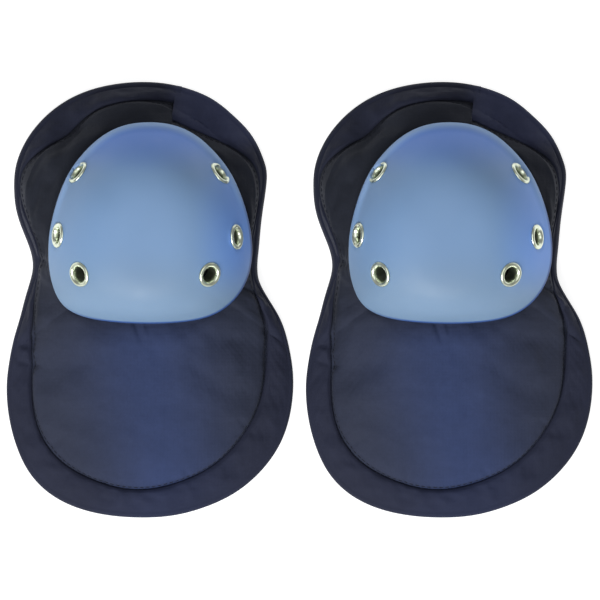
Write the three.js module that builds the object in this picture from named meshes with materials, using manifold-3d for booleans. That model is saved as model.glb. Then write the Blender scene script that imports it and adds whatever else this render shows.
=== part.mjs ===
// A pair of hard-cap knee pads lying on their backs, caps up, side by side.
//
// Each pad is an hourglass of foam between a front cover and a liner. A flange runs all round it,
// bound by an edge band that wraps from the front seam over the rim to the back.
// A moulded cap is riveted to the front cover by six eyelets, which are rolled over washers inside
// the pad. Behind, two elastic straps cross the hollow that takes the knee, and close with hook tabs
// on loop tabs.
//
// Millimetres. +X runs across both pads, +Y towards the thigh end, +Z out of the caps. The origin is
// on the ground, in the middle of the pair.

import * as THREE from "three";
import { mergeVertices } from "three/addons/utils/BufferGeometryUtils.js";
import Module from "manifold-3d";

const wasm = await Module();
wasm.setup();

// Driving dimensions.
const PITCH = 175; // from one pad's middle line to the other's
const CROWN_Y = 30; // every surface of a pad rises to a crown at (0, CROWN_Y)
const FLANGE = 16.5; // real width of the flange, measured over its slope
const RIM_TOP = 5; // height of the flange's outer edge
const RIM_ROUND = 1.4; // chamfer that rounds the rim
const MEAN_FOOT = 14; // mean height of the front seam
const ARCH = 38; // height of the front cover's arch over the leg
const KNEE_RISE = 31; // what the dome under the cap adds to the arch
const HOLLOW = 23; // height of the hollow that takes the leg
const HOLLOW_RISE = 26; // what the knee's own cup adds to the hollow
const HOLLOW_FOOT = 2; // the hollow's edge stands this far off the ground
const HOLLOW_INSET = 5; // from the front seam in to the hollow's edge
const PAD_CORE = 72; // level lines are circles at the crown: this is their reach for a whole pad
const CAP_CORE = 52; // the same for the cap
const FABRIC = 1.2;
const GAP = 0.3; // running clearance between neighbouring pieces
const CAP_WALL = 3;
const CAP_GAP = 0.5;
const EYELET = { bore: 3.9, barrel: 4.3, flange: 7.3, seat: 8, tail: 5.6 };
const SEAT_DEPTH = 0.6; // flat moulded in the cap under each eyelet
const WASHER_WALL = 0.8;
const STRAP = { width: 38, wall: 1.6, low: 0.5 };
const HOOK_TAB = { wall: 1.4, start: 13, end: 46 };
const LOOP_TAB = { start: 15, low: 2.4, turn: 4 }; // it turns up this far short of the wall

// Plan outlines of one pad, in order round it.
const RIM_POINTS = [
  [16, 124.5],
  [38, 116],
  [61, 93],
  [68, 70],
  [63.5, 24],
  [66, 5],
  [79, -18],
  [83.5, -50],
  [74, -88],
  [36, -119],
  [-6, -127],
  [-46, -119],
  [-77, -88],
  [-83.5, -50],
  [-77, -16],
  [-68, 20],
  [-78.5, 62],
  [-70, 97],
  [-46, 118],
  [-12, 126.5],
];
const SEAM_POINTS = [
  [-6, 117],
  [16, 111],
  [38, 95],
  [57, 76],
  [62, 54],
  [59.5, 24],
  [62, 3],
  [67.5, -18],
  [67, -46],
  [55, -81],
  [25, -104.5],
  [-8, -111],
  [-41, -101],
  [-66, -73],
  [-69.5, -46],
  [-68, -18],
  [-64.5, 19],
  [-72.5, 58],
  [-65, 81],
  [-45, 99],
  [-28, 113],
];
// Half of the cap's edge, mirrored for the other half.
const CAP_HALF = [
  [0, 100],
  [24, 94],
  [41.5, 76],
  [50.5, 58],
  [55, 40],
  [55.5, 22],
  [52, 8],
  [42, -3],
  [22, -8.6],
  [0, -9.8],
];
// Eyelet places on the front cover.
const EYELETS = {
  top_left: [-39.5, 72.5],
  top_right: [39, 72],
  middle_left: [-50.5, 37.5],
  middle_right: [48, 36.5],
  bottom_left: [-38.5, 15.5],
  bottom_right: [33.5, 15.5],
};
// Middle line of each strap along the pad.
const STRAPS = { upper: 52, lower: -40 };

const LOOKS = {
  cap: { color: 0x6f90c0, roughness: 0.38, metalness: 0 },
  metal: { color: 0xd8d3b4, roughness: 0.25, metalness: 1 },
  cover: { color: 0x2f3652, roughness: 0.85, metalness: 0 },
  liner: { color: 0x1c1f28, roughness: 0.95, metalness: 0 },
  foam: { color: 0x3a3c40, roughness: 1, metalness: 0 },
  elastic: { color: 0x15161a, roughness: 0.9, metalness: 0 },
  hook: { color: 0x101114, roughness: 0.6, metalness: 0 },
  loop: { color: 0x1b1d24, roughness: 1, metalness: 0 },
};

// ---------------------------------------------------------------- outlines and heights

const smoothLoop = (points) =>
  new THREE.CatmullRomCurve3(
    points.map(([x, y]) => new THREE.Vector3(x, y - CROWN_Y, 0)),
    true,
    "centripetal",
  );

// How far an outline is from the crown at any angle, from close samples of a smooth closed curve.
function outline(points, samples = 720) {
  const polar = smoothLoop(points)
    .getPoints(samples)
    .map((p) => ({ angle: Math.atan2(p.y, p.x), reach: Math.hypot(p.x, p.y) }))
    .sort((a, b) => a.angle - b.angle);
  const first = polar[0];
  const last = polar.at(-1);
  polar.unshift({ angle: last.angle - 2 * Math.PI, reach: last.reach });
  polar.push({ angle: first.angle + 2 * Math.PI, reach: first.reach });
  return (angle) => {
    const wrapped = Math.atan2(Math.sin(angle), Math.cos(angle));
    const next = Math.max(
      1,
      polar.findIndex((p) => p.angle >= wrapped),
    );
    const [a, b] = [polar[next - 1], polar[next]];
    const share = (wrapped - a.angle) / Math.max(b.angle - a.angle, 1e-9);
    return THREE.MathUtils.lerp(a.reach, b.reach, share);
  };
}

const rim = outline(RIM_POINTS);
const seam = outline(SEAM_POINTS);
const mirrored = CAP_HALF.slice(1, -1)
  .reverse()
  .map(([x, y]) => [-x, y]);
const capEdge = outline([...CAP_HALF, ...mirrored]);
const hollowEdge = (angle) => seam(angle) - HOLLOW_INSET;

// The flange keeps its real width, so where it looks narrow from the front it drops further.
function seamHeight(angle) {
  const seen = rim(angle) - seam(angle);
  const drop = Math.sqrt(Math.max(16, FLANGE ** 2 - seen ** 2));
  return RIM_TOP + drop;
}

const polarOf = (x, y) => [Math.atan2(y - CROWN_Y, x), Math.hypot(x, y - CROWN_Y)];

// Level lines are circles round the crown, and take the edge's shape as they near it.
const reachOf = (share, edge, core) => core * share + (edge - core) * share ** 3;

// The share of the way from the crown to an edge, which undoes reachOf by Newton's method.
function shareOf(reach, edge, core) {
  if (reach >= edge) return 1;
  let share = reach / edge;
  for (let i = 0; i < 8; i++) {
    const slope = core + 3 * (edge - core) * share ** 2;
    share -= (reachOf(share, edge, core) - reach) / slope;
  }
  return THREE.MathUtils.clamp(share, 0, 1);
}

const domeShare = (angle, reach) => shareOf(reach, capEdge(angle) + 2, CAP_CORE);

// Height of the front cover's outer face: an arch on the seam, and a dome under the cap.
function frontHeight(x, y) {
  const [angle, reach] = polarOf(x, y);
  const foot = seamHeight(angle);
  const edge = seam(angle);
  if (reach > edge) {
    const out = Math.min(1, (reach - edge) / (rim(angle) - edge));
    return THREE.MathUtils.lerp(foot, RIM_TOP, out);
  }
  const share = shareOf(reach, edge, PAD_CORE);
  const base = THREE.MathUtils.lerp(MEAN_FOOT, foot, share ** 2);
  const arch = base + (ARCH - base) * (1 - share ** 3) ** 0.8;
  const fall = THREE.MathUtils.lerp(0.9, 1, Math.sin(angle) ** 2);
  return arch + KNEE_RISE * (1 - domeShare(angle, reach) ** 4) ** fall;
}

// Height of the liner's inner face, which is the roof of the hollow.
function hollowHeight(x, y) {
  const [angle, reach] = polarOf(x, y);
  const share = shareOf(reach, hollowEdge(angle), PAD_CORE);
  const arch = (HOLLOW - HOLLOW_FOOT) * (1 - share ** 2.2) ** 0.6;
  return HOLLOW_FOOT + arch + HOLLOW_RISE * (1 - domeShare(angle, reach) ** 2) ** 1.5;
}

// A point on a height surface, moved out along the surface's own normal.
function onSurface(height, x, y, out = 0, step = 0.6) {
  const slopeX = (height(x + step, y) - height(x - step, y)) / (2 * step);
  const slopeY = (height(x, y + step) - height(x, y - step)) / (2 * step);
  const normal = new THREE.Vector3(-slopeX, -slopeY, 1).normalize();
  const point = new THREE.Vector3(x, y, height(x, y));
  return { point: point.addScaledVector(normal, out), normal };
}

// ---------------------------------------------------------------- solids from rings and sections

function geometryOf(points, faces) {
  const geometry = new THREE.BufferGeometry();
  const flat = points.flatMap((p) => [p.x, p.y, p.z]);
  geometry.setAttribute("position", new THREE.Float32BufferAttribute(flat, 3));
  geometry.setIndex(faces);
  return geometry;
}

// Two triangles over a quad a-b-c-d, split from a to c, or from b to d.
const quad = (a, b, c, d, crossed) =>
  crossed ? [a, b, d, b, c, d] : [a, b, c, a, c, d];

// Closed skin over rings that run from a top pole out to a turn and back in to a bottom pole.
// Faces are split the same way on both sides of the turn, so nested skins stay evenly apart.
function ringLoft(topPole, rings, bottomPole, turn = rings.length / 2) {
  const count = rings[0].length;
  const points = [topPole, ...rings.flat(), bottomPole];
  const at = (ring, i) => 1 + ring * count + (i % count);
  const faces = [];
  for (let i = 0; i < count; i++) {
    faces.push(0, at(0, i), at(0, i + 1));
    for (let r = 0; r + 1 < rings.length; r++)
      faces.push(
        ...quad(at(r, i), at(r + 1, i), at(r + 1, i + 1), at(r, i + 1), r >= turn),
      );
    const last = rings.length - 1;
    faces.push(points.length - 1, at(last, i + 1), at(last, i));
  }
  return geometryOf(points, faces);
}

// Closed skin along a list of sections, each the loop of a thickened line, with flat ends.
function sectionLoft(sections) {
  const count = sections[0].length;
  const points = sections.flat();
  const at = (section, i) => section * count + (i % count);
  const last = sections.length - 1;
  const faces = [];
  for (let i = 0; i < count; i++)
    for (let s = 0; s < last; s++)
      faces.push(
        ...quad(at(s, i), at(s, i + 1), at(s + 1, i + 1), at(s + 1, i), i >= count / 2),
      );
  // A thickened line's loop pairs each point with the one across its thickness.
  for (let i = 0; i + 1 < count / 2; i++) {
    const across = count - 1 - i;
    faces.push(at(0, i), at(0, across), at(0, across - 1));
    faces.push(at(0, i), at(0, across - 1), at(0, i + 1));
    faces.push(at(last, i), at(last, across - 1), at(last, across));
    faces.push(at(last, i), at(last, i + 1), at(last, across - 1));
  }
  return geometryOf(points, faces);
}

// A polyline in a plane moved sideways, with mitred corners.
function shifted(line, distance) {
  return line.map((p, i) => {
    const before = line[Math.max(0, i - 1)];
    const after = line[Math.min(line.length - 1, i + 1)];
    const into = p.clone().sub(i ? before : p.clone().multiplyScalar(2).sub(after));
    const out = i + 1 < line.length ? after.clone().sub(p) : into.clone();
    into.normalize();
    out.normalize();
    const middle = new THREE.Vector2(-(into.y + out.y), into.x + out.x).normalize();
    const mitre = middle.dot(new THREE.Vector2(-into.y, into.x));
    return p.clone().addScaledVector(middle, distance / Math.max(mitre, 0.4));
  });
}

// The closed loop of a polyline given a thickness, from one side round to the other.
const thickened = (line, from, to) => [
  ...shifted(line, from),
  ...shifted(line, to).reverse(),
];

const solidOf = (geometry) => {
  const bare = geometry.clone();
  bare.deleteAttribute("normal");
  bare.deleteAttribute("uv");
  const merged = mergeVertices(bare, 1e-4);
  return new wasm.Manifold(
    new wasm.Mesh({
      numProp: 3,
      vertProperties: merged.attributes.position.array,
      triVerts: new Uint32Array(merged.index.array),
    }),
  );
};

function geometryFrom(solid) {
  const { vertProperties, triVerts } = solid.getMesh();
  const geometry = new THREE.BufferGeometry();
  geometry.setAttribute("position", new THREE.BufferAttribute(vertProperties, 3));
  geometry.setIndex(new THREE.BufferAttribute(triVerts, 1));
  return geometry;
}

// ---------------------------------------------------------------- layers of the pad

// Stations evenly spaced round the rim, anticlockwise from the place where the edge band's ends meet.
const STATIONS = 40;
const ANGLES = smoothLoop(RIM_POINTS)
  .getSpacedPoints(STATIONS)
  .reverse()
  .slice(0, STATIONS)
  .map((p) => Math.atan2(p.y, p.x));
const CAP_SHARES = [0.28, 0.55, 0.77, 0.92, 1];
const AROUND_SHARES = [0, 0.33, 0.67];
const VALLEY = 3; // the cover's level line just outside the cap
const SEAM_ALLOWANCE = 1; // the cover stops this far short of the front seam
const HOLLOW_SHARES = [0.22, 0.44, 0.64, 0.8, 0.92, 1];

// One ring on a height surface, from how far it is from the crown at any angle.
const ring = (height, reachAt, out) =>
  ANGLES.map((angle) => {
    const x = reachAt(angle) * Math.cos(angle);
    const y = CROWN_Y + reachAt(angle) * Math.sin(angle);
    return onSurface(height, x, y, out).point;
  });

const capReaches = CAP_SHARES.map(
  (share) => (angle) => reachOf(share, capEdge(angle), CAP_CORE),
);
const valley = (angle) =>
  capEdge(angle) + Math.min(VALLEY, 0.3 * (seam(angle) - capEdge(angle)));
const aroundReaches = AROUND_SHARES.map(
  (share) => (angle) => THREE.MathUtils.lerp(valley(angle), seam(angle), share),
);
const coverReaches = [
  ...capReaches,
  ...aroundReaches,
  (angle) => seam(angle) - SEAM_ALLOWANCE,
];
const hollowReaches = HOLLOW_SHARES.map(
  (share) => (angle) => reachOf(share, hollowEdge(angle), PAD_CORE),
);

const rings = (height, reaches, out) =>
  reaches.map((reachAt) => ring(height, reachAt, out));

const pole = (height, out) => onSurface(height, 0, CROWN_Y, out).point;

// A shell between two offsets of one height surface.
function shell(height, reaches, top, bottom) {
  return ringLoft(
    pole(height, top),
    [...rings(height, reaches, top), ...rings(height, reaches, bottom).reverse()],
    pole(height, bottom),
  );
}

const capShell = () =>
  shell(frontHeight, capReaches, CAP_GAP + CAP_WALL, CAP_GAP);
const coverShell = () => shell(frontHeight, coverReaches, 0, -FABRIC);
const linerShell = () => shell(hollowHeight, hollowReaches, FABRIC, 0);

// The flange's outer line at an angle, as (reach, height) from the seam over the rim to the hem.
function flangeLine(angle) {
  const outer = rim(angle);
  return [
    [seam(angle), seamHeight(angle)],
    [outer - RIM_ROUND, RIM_TOP],
    [outer, RIM_TOP - RIM_ROUND],
    [outer, RIM_ROUND],
    [outer - RIM_ROUND, 0],
    [hollowEdge(angle) + 1.6, 0],
  ].map(([reach, height]) => new THREE.Vector2(reach, height));
}

const placed = (angle, p) =>
  new THREE.Vector3(
    p.x * Math.cos(angle),
    CROWN_Y + p.x * Math.sin(angle),
    p.y,
  );

function foamCore() {
  const depth = FABRIC + GAP;
  const lines = ANGLES.map((angle) =>
    shifted(flangeLine(angle), -depth).map((p) => placed(angle, p)),
  );
  const flange = lines[0].map((_, step) => lines.map((line) => line[step]));
  const front = [...rings(frontHeight, coverReaches, -depth), ...flange];
  const roof = rings(hollowHeight, hollowReaches, depth).reverse();
  return ringLoft(
    pole(frontHeight, -depth),
    [...front, ...roof],
    pole(hollowHeight, depth),
    front.length,
  );
}

// The edge band: a strip folded round the flange, its ends left a little apart where they meet.
const BUTT = 0.005;

function edgeBand() {
  const butt = ANGLES[0];
  const angles = [butt + BUTT, ...ANGLES.slice(1), butt - BUTT];
  return sectionLoft(
    angles.map((angle) =>
      thickened(flangeLine(angle), 0, -FABRIC).map((p) => placed(angle, p)),
    ),
  );
}

// ---------------------------------------------------------------- eyelets

// Eyelet and washer profiles: radius against distance out from the front cover's face.
const SEAT = CAP_GAP + CAP_WALL - SEAT_DEPTH;
const WASHER_TOP = -FABRIC - 2.6;
const TAIL_TOP = WASHER_TOP - WASHER_WALL - GAP;
const TAIL_END = TAIL_TOP - 0.8;
const EYELET_PROFILE = [
  [EYELET.bore, TAIL_END],
  [EYELET.tail, TAIL_END],
  [EYELET.tail, TAIL_TOP],
  [EYELET.barrel, TAIL_TOP],
  [EYELET.barrel, SEAT + GAP],
  [EYELET.flange, SEAT + GAP],
  [EYELET.flange - 0.6, SEAT + 1.1],
  [EYELET.bore, SEAT + 1.1],
];
const WASHER_PROFILE = [
  [EYELET.barrel + GAP, WASHER_TOP - WASHER_WALL],
  [EYELET.flange - 0.1, WASHER_TOP - WASHER_WALL],
  [EYELET.flange - 0.1, WASHER_TOP],
  [EYELET.barrel + GAP, WASHER_TOP],
];
const ROUND = 10;

const turned = (profile) =>
  new THREE.LatheGeometry(
    [...profile, profile[0]].map(([r, h]) => new THREE.Vector2(r, h)),
    ROUND,
  );

// The lathe's axis turned from +Y to the front cover's normal at an eyelet's place.
function eyeletFrame([x, y]) {
  const { point, normal } = onSurface(frontHeight, x, y);
  const turn = new THREE.Quaternion().setFromUnitVectors(
    new THREE.Vector3(0, 1, 0),
    normal,
  );
  return new THREE.Matrix4().compose(point, turn, new THREE.Vector3(1, 1, 1));
}

// A round cutter between two distances from the front cover's face.
function drill(place, radius, from, to) {
  const cutter = new THREE.CylinderGeometry(radius, radius, to - from, ROUND + 2);
  cutter.translate(0, (from + to) / 2, 0);
  return solidOf(cutter.applyMatrix4(eyeletFrame(place)));
}

const CLEAR = 12; // long enough to cut clean out of a wall
const cut = (geometry, cutters) =>
  geometryFrom(
    cutters.reduce((solid, cutter) => solid.subtract(cutter), solidOf(geometry)),
  );

const places = Object.values(EYELETS);
const hole = EYELET.barrel + GAP;
const capGeometry = cut(capShell(), [
  ...places.map((p) => drill(p, hole, -CLEAR, CLEAR)),
  ...places.map((p) => drill(p, EYELET.seat, SEAT, CLEAR)),
]);
const coverGeometry = cut(
  coverShell(),
  places.map((p) => drill(p, hole, -5, 5)),
);
const foamGeometry = cut(
  foamCore(),
  places.map((p) => drill(p, EYELET.flange + GAP, TAIL_END - GAP, CLEAR)),
);

// ---------------------------------------------------------------- straps

// Where the hollow's wall is at a height, on one side (-1 or 1) of the pad.
const linerGeometry = linerShell();
const linerWall = new THREE.Mesh(linerGeometry);
function wallX(side, y, height) {
  const from = new THREE.Vector3(0, y, height);
  const ray = new THREE.Raycaster(from, new THREE.Vector3(side, 0, 0));
  return ray.intersectObject(linerWall)[0].point.x;
}

const SEWN_HEIGHTS = [3.4, 5.5, 8, 11]; // where a strap's sewn end follows the wall
const SEWN_GAP = 0.6;

// Points up the wall that a sewn end follows, as (x, z).
const sewnLine = (side, y) =>
  SEWN_HEIGHTS.map((z) => new THREE.Vector2(wallX(side, y, z), z));

const ACROSS = [-0.5, -0.25, 0, 0.25, 0.5].map((share) => share * STRAP.width);

// A strap piece whose line in the XZ plane is known at every station across its width.
const strapPiece = (lineAt, from, to) =>
  sectionLoft(
    ACROSS.map((offset) =>
      thickened(lineAt(offset), from, to).map(
        (p) => new THREE.Vector3(p.x, offset, p.y),
      ),
    ),
  );

const strapAnchor = (middle) =>
  strapPiece(
    (offset) => sewnLine(-1, middle + offset),
    -SEWN_GAP,
    -SEWN_GAP - STRAP.wall,
  );

const loopTab = (middle) =>
  strapPiece(
    (offset) => {
      const sewn = sewnLine(1, middle + offset);
      const inner = shifted(sewn, SEWN_GAP + STRAP.wall / 2);
      const level = LOOP_TAB.low + STRAP.wall / 2;
      const flat = [LOOP_TAB.start, inner[1].x - LOOP_TAB.turn];
      return [...flat.map((x) => new THREE.Vector2(x, level)), ...inner.slice(2)];
    },
    STRAP.wall / 2,
    -STRAP.wall / 2,
  );

function flatStrip(from, to, wall) {
  const strip = new THREE.BoxGeometry(to - from, STRAP.width, wall);
  return strip.translate((from + to) / 2, 0, STRAP.low + wall / 2);
}

// ---------------------------------------------------------------- assembly

function part(name, geometry, look) {
  const mesh = new THREE.Mesh(geometry, new THREE.MeshStandardMaterial(LOOKS[look]));
  mesh.name = name;
  return mesh;
}

function eyeletSet(pad) {
  return Object.entries(EYELETS).flatMap(([where, place]) => {
    const eyelet = part(`${pad}_eyelet_${where}`, turned(EYELET_PROFILE), "metal");
    const washer = part(`${pad}_washer_${where}`, turned(WASHER_PROFILE), "metal");
    for (const piece of [eyelet, washer])
      piece.applyMatrix4(eyeletFrame(place));
    return [eyelet, washer];
  });
}

function strapSet(pad, where, middle) {
  const group = new THREE.Group();
  const { start, end, wall } = HOOK_TAB;
  const sewn = Math.max(...ACROSS.map((y) => wallX(-1, middle + y, SEWN_HEIGHTS[0])));
  group.add(
    part(`${pad}_${where}_strap_anchor`, strapAnchor(middle), "elastic"),
    part(`${pad}_${where}_strap`, flatStrip(sewn + 3, start - 1, STRAP.wall), "elastic"),
    part(`${pad}_${where}_hook_tab`, flatStrip(start, end, wall), "hook"),
    part(`${pad}_${where}_loop_tab`, loopTab(middle), "loop"),
  );
  group.position.y = middle;
  return group;
}

function kneePad(pad) {
  const group = new THREE.Group();
  group.add(
    part(`${pad}_cap`, capGeometry, "cap"),
    part(`${pad}_front_cover`, coverGeometry, "cover"),
    part(`${pad}_foam_core`, foamGeometry, "foam"),
    part(`${pad}_liner`, linerGeometry, "liner"),
    part(`${pad}_edge_band`, edgeBand(), "cover"),
    ...eyeletSet(pad),
    ...Object.entries(STRAPS).map(([where, y]) => strapSet(pad, where, y)),
  );
  return group;
}

const pair = new THREE.Group();
for (const [pad, side] of [
  ["left", -1],
  ["right", 1],
]) {
  const kneeGroup = kneePad(pad);
  kneeGroup.position.x = (side * PITCH) / 2;
  pair.add(kneeGroup);
}

export default pair;
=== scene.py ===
"""Looks for a pair of hard-cap knee pads, lying on their backs with their caps up.

Everything is worked out in millimetres in one pad's own frame, with its middle line at x = 0, and
is moved to the pad's place when it becomes a mesh. Surfaces run round a crown under the cap: a
point is known by its angle about the crown and its reach from it.
"""

import math

import bpy
import numpy as np
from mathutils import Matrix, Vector


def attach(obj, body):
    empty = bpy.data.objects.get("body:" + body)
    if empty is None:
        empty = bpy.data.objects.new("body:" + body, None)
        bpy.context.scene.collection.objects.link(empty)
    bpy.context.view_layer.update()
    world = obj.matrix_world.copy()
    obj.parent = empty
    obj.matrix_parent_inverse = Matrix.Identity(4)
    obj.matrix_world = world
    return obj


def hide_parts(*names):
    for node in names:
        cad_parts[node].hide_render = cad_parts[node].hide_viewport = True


TAU = 2 * math.pi
MM = 0.001

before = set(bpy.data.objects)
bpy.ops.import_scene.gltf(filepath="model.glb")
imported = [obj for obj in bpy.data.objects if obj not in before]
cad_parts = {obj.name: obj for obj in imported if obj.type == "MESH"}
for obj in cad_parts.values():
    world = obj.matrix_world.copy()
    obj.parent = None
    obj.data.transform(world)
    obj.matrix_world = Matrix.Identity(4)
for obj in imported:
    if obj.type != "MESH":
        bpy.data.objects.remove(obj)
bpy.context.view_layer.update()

# ------------------------------------------------------------------ sizes, in millimetres

PAD_MIDDLE = {"left": -87.5, "right": 87.5}
CROWN_Y = 30.0  # the crown is under the middle of the cap
PAD_CORE = 72.0  # near the crown, level lines over the leg are circles that grow at this rate
CAP_CORE = 52.0  # the same for the dome under the cap
FLANGE = 16.5  # real width of the cloth between the seam and the rim
RIM_TOP = 5.0
RIM_ROUND = 2.6
RIM_STUFFED = 3.0  # the stuffed rim bulges this far past its shoulder
MEAN_FOOT = 14.0  # mean height of the seam
ARCH = 38.0  # height of the front cloth over the leg
KNEE_RISE = 31.0  # the dome under the cap stands this far above the arch
HOLLOW = 23.0  # height of the hollow's roof over the leg
HOLLOW_RISE = 26.0  # the cup for the kneecap goes this far above the roof
HOLLOW_FOOT = 2.0
HOLLOW_INSET = 5.0
CLOTH = 1.1
CAP_GAP = 0.5
CAP_WALL = 3.0
SEAT_DEPTH = 0.6  # the flat seats round the eyelets are sunk this far into the cap
SEAT_RADIUS = 7.9
COVER_HOLE = 5.2
CAP_HOLE = 5.0
BUTT = math.radians(80.9)  # where the edge band's two ends meet
STRAP_WIDTH = 38.0

# Plan outline of the rim, anticlockwise from the right waist.
RIM_POINTS = [
    (62.6, 23.4), (63.2, 29.3), (63.9, 37), (64.9, 46.8), (66.2, 56), (67.6, 66), (67.9, 75),
    (66.1, 82), (63.0, 89.5), (57.8, 98), (49.2, 107), (37.0, 116.8), (24.0, 122.7), (9.0, 126.3),
    (-5.3, 127.2), (-20.0, 126.0), (-34.5, 122.7), (-48.0, 116.8), (-59.8, 108.2), (-68.6, 98.5),
    (-75.0, 87.6), (-78.6, 76), (-79.2, 65), (-78.0, 53), (-74.6, 42), (-71.0, 33), (-68.6, 25),
    (-68.3, 17.6), (-70.4, 9), (-73.1, 0), (-76.2, -11.7), (-79.6, -23.4), (-82.0, -35.1),
    (-83.5, -47), (-83.4, -59), (-81.6, -72), (-77.3, -87), (-71.2, -99.5), (-61.0, -111),
    (-48.0, -119), (-30.0, -124.6), (-6.0, -126.9), (14.0, -125.6), (32.0, -120.8), (48.0, -113.4),
    (61.0, -103.5), (70.6, -92.5), (77.4, -80.5), (81.6, -67), (83.4, -53), (83.2, -41),
    (81.4, -29.3), (78.6, -18), (75.4, -10), (71.0, -2.4), (66.6, 4.8), (63.6, 11), (62.5, 17),
]
# Where the front cloth's arch meets the flange.
SEAM_POINTS = [
    (58.4, 24), (62, 54), (59, 76), (39, 96), (16, 110), (-6, 116.5), (-28, 112.5), (-46, 100),
    (-66, 82), (-73, 58), (-64, 22), (-67.5, -12), (-69.5, -42), (-66, -73), (-52, -94),
    (-33, -105.5), (-8, -110.8), (18, -106.5), (38, -96.5), (54.5, -80), (64.5, -60), (68.4, -36),
    (66.5, -10), (61.5, 5),
]
# Inner edge of the edge band, anticlockwise from its butt joint and round to it again.
BAND_POINTS = [
    (13.4, 116.0), (-4, 117.2), (-21.6, 115.0), (-36, 108.6), (-48.6, 97.4), (-62.6, 88.6),
    (-74.2, 77), (-75.4, 58), (-67.6, 36), (-65.2, 20), (-68.2, 2), (-69.2, -20), (-69.6, -42),
    (-66.6, -72), (-53, -93.5), (-35, -104.6), (-8, -111), (16, -107), (36, -97.6), (53, -81.5),
    (64.2, -60.5), (68.4, -35), (67.6, -12), (62.8, 3), (59.6, 20), (61.6, 44), (64.4, 66),
    (60.8, 79.5), (50, 88.5), (37, 95.5), (25, 100.5), (15.4, 104.5),
]
CAP_POINTS = [
    (56.4, 28), (55.8, 38), (53.6, 49), (50.6, 58.5), (46.6, 68), (41.5, 76.5), (34, 85.5),
    (25, 93.2), (14, 98.4), (0, 100.2), (-14, 98.4), (-25, 93.2), (-34, 85.5), (-41.3, 76.5),
    (-46.2, 68), (-50, 58.5), (-52.8, 49), (-55, 38), (-55.6, 28), (-54.9, 17), (-52.6, 7.5),
    (-47.6, -1), (-40, -5.6), (-30, -8.2), (-15, -9.8), (0, -10.3), (14, -9.8), (27, -8.2),
    (37, -5.0), (45.4, 0.8), (51.4, 8.5), (55.2, 18),
]
EYELETS = {
    "top_left": (-39.5, 72.5),
    "top_right": (39, 72),
    "middle_left": (-50.5, 37.5),
    "middle_right": (48, 36.5),
    "bottom_left": (-38.5, 15.5),
    "bottom_right": (33.5, 15.5),
}


# ------------------------------------------------------------------ curves and height surfaces


def spline(at, value):
    """Natural cubic through (at, value): on each span, a cubic whose bends match the next ones'."""
    at, value = np.asarray(at, float), np.asarray(value, float)
    gap = np.diff(at)
    rise = np.diff(value) / gap
    n = len(at)
    system = np.eye(n)
    right = np.zeros(n)
    inner = np.arange(1, n - 1)
    system[inner, inner] = 2 * (gap[:-1] + gap[1:])
    system[inner, inner - 1] = gap[:-1]
    system[inner, inner + 1] = gap[1:]
    right[inner] = 6 * np.diff(rise)
    bend = np.linalg.solve(system, right)

    def curve(x):
        k = np.clip(np.searchsorted(at, x, side="right") - 1, 0, n - 2)
        h, t = gap[k], x - at[k]
        u = h - t
        cubic = (bend[k] * u**3 + bend[k + 1] * t**3) / (6 * h)
        start = (value[k] / h - bend[k] * h / 6) * u
        return cubic + start + (value[k + 1] / h - bend[k + 1] * h / 6) * t

    return curve


def polar(points):
    """Angle about the crown, and reach from it, of plan points."""
    p = np.asarray(points, float) - (0, CROWN_Y)
    return np.arctan2(p[:, 1], p[:, 0]), np.hypot(p[:, 0], p[:, 1])


def closed_outline(points):
    """Reach of a closed outline at any angle: a cubic through its points, wrapped past its ends."""
    angle, reach = polar(points)
    order = np.argsort(angle)
    angle, reach = angle[order], reach[order]
    wide = np.concatenate([angle[-5:] - TAU, angle, angle[:5] + TAU])
    curve = spline(wide, np.concatenate([reach[-5:], reach, reach[:5]]))
    return lambda a: curve((a + math.pi) % TAU - math.pi)


def open_outline(points, start):
    """The same for an outline that stops where it began, with a step between its two ends."""
    angle, reach = polar(points)
    turned = np.unwrap(angle)
    curve = spline(turned, reach)
    low, high = turned[0], turned[-1]
    return lambda a: curve(np.clip((a - start + 1e-9) % TAU + start, low, high))


rim = closed_outline(RIM_POINTS)
seam = closed_outline(SEAM_POINTS)
cap_edge = closed_outline(CAP_POINTS)
band_line = open_outline(BAND_POINTS, BUTT)


def hollow_edge(angle):
    """Reach of the hollow's foot, a little inside the seam."""
    return seam(angle) - HOLLOW_INSET


def reach_of(share, edge, core):
    """Level lines are circles at the crown and take the edge's shape: core*s + (edge-core)*s^3."""
    return core * share + (edge - core) * share**3


def share_of(reach, edge, core):
    """Undoes reach_of by Newton's method."""
    share = np.minimum(reach / edge, 1)
    for _ in range(10):
        slope = core + 3 * (edge - core) * share**2
        share = share - (reach_of(share, edge, core) - reach) / slope
    return np.where(reach >= edge, 1.0, np.clip(share, 0, 1))


def smooth(low, high, x):
    """0 below low, 1 above high, and 3t^2 - 2t^3 between."""
    t = np.clip((x - low) / (high - low), 0, 1)
    return t * t * (3 - 2 * t)


def seam_height(angle):
    """The flange has one real width, so the less of it shows in plan, the more it drops."""
    seen = rim(angle) - seam(angle)
    return RIM_TOP + np.sqrt(np.maximum(16, FLANGE**2 - seen**2))


def arch_profile(share, power, fall, ease):
    """(1 - s^power)^fall, eased so that it meets the seam at a finite slope."""
    top = (1 + ease) ** fall - ease**fall
    return ((1 - share**power + ease) ** fall - ease**fall) / top


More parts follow.
